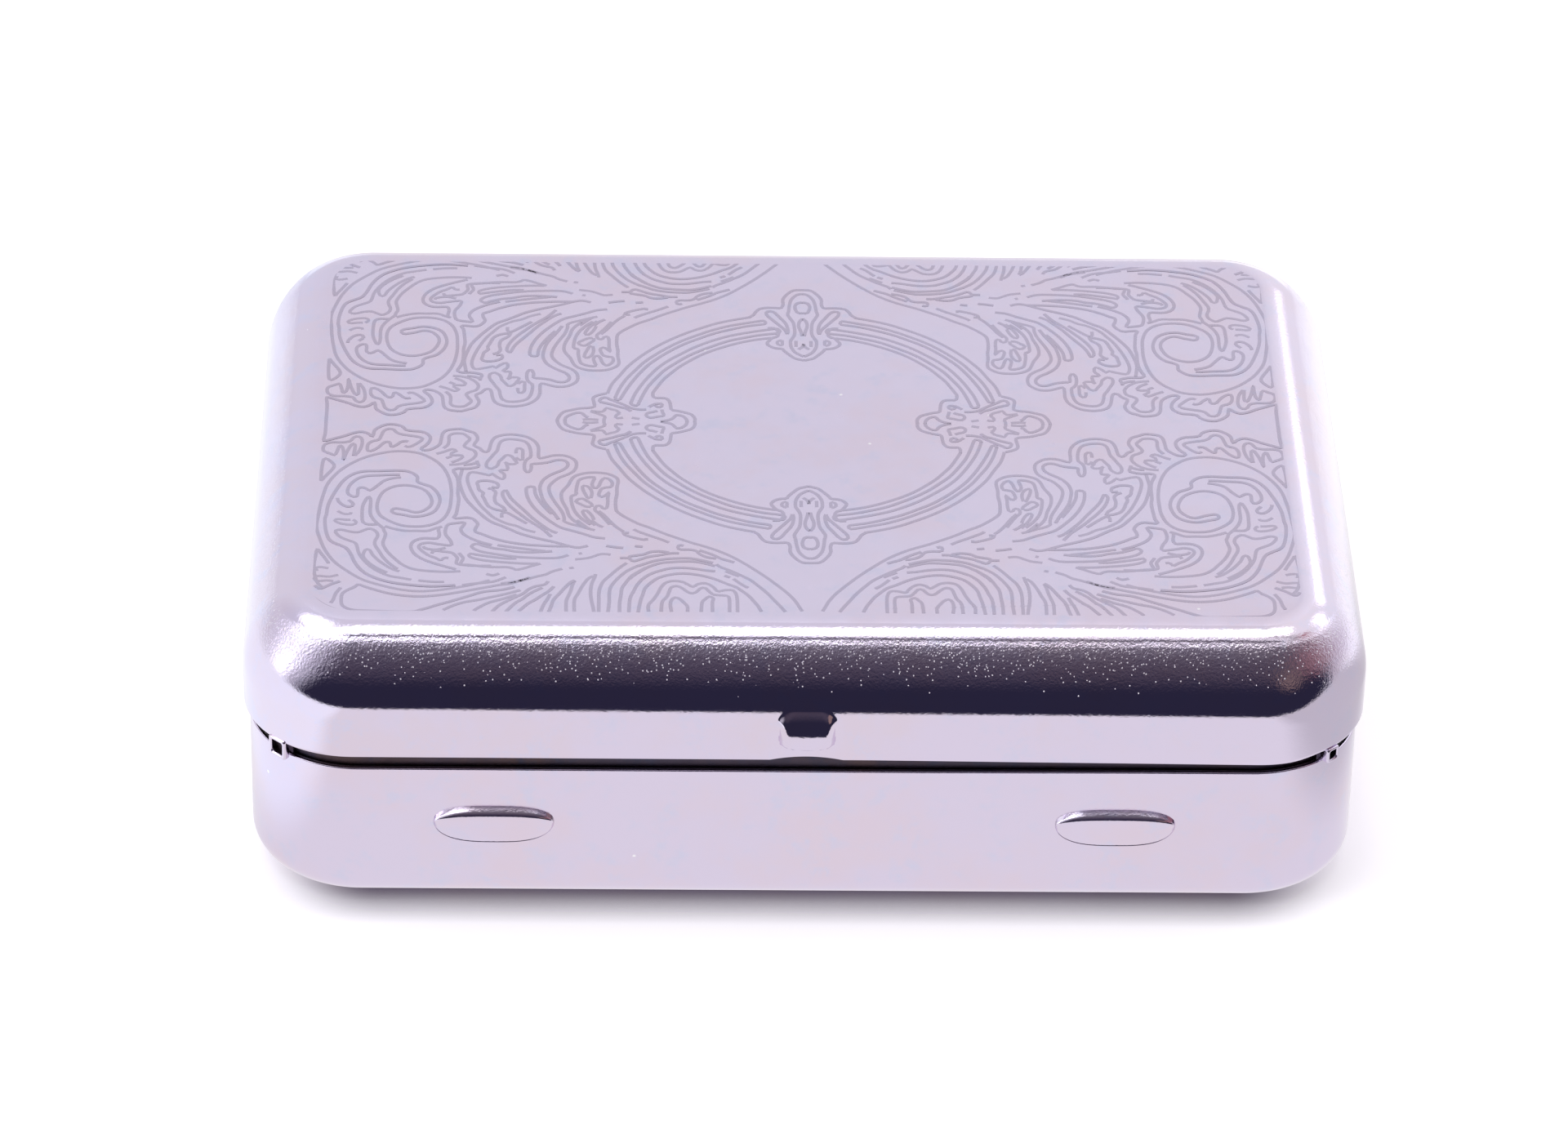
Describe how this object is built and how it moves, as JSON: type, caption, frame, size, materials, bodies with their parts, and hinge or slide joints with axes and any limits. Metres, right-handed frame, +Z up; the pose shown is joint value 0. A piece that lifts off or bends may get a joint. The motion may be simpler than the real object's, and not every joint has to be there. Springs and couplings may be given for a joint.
{
  "type": "tobacco case",
  "caption": "Flat rounded sheet-metal tobacco case with hinged lid, spring catch strip, etched top and sprung paper flap in the lid.",
  "frame": {"origin": "middle of the flat underside", "axes": "+X to the right along the long side, -Y towards the front with the catch, +Z up"},
  "size_m": [0.1, 0.072, 0.0275],
  "materials": {
    "satin_nickel": "nickel plate over steel, fine satin grain on the top, brighter on the skirt",
    "bright_nickel": "bright nickel plate over steel with a faint drawing grain",
    "inner_nickel": "plain nickel-plated sheet, a little duller than the outside",
    "spring_steel": "bright hard spring sheet and wire"
  },
  "bodies": {
    "base": {"base_shell": "bright_nickel", "front_catch_strip": "spring_steel", "base_hinge_leaf": "inner_nickel", "hinge_pin": "spring_steel"},
    "lid": {"lid_shell": "satin_nickel", "lid_hinge_leaf": "inner_nickel", "flap_bracket_left": "inner_nickel", "flap_bracket_right": "inner_nickel", "paper_flap_pin": "spring_steel"},
    "flap": {"paper_flap": "inner_nickel", "flap_spring_left": "spring_steel", "flap_spring_right": "spring_steel"}
  },
  "joints": [
    {"name": "lid_hinge", "type": "hinge", "parent": "base", "child": "lid", "pos_m": [0, 0.03479, 0.01525], "axis": [-1, 0, 0], "range_deg": [0, 100]},
    {"name": "flap_hinge", "type": "hinge", "parent": "lid", "child": "flap", "pos_m": [0, 0.02728, 0.02352], "axis": [1, 0, 0], "range_deg": [0, 20], "stiffness_Nm_per_rad": 0.02, "springref_deg": -28.65}
  ]
}
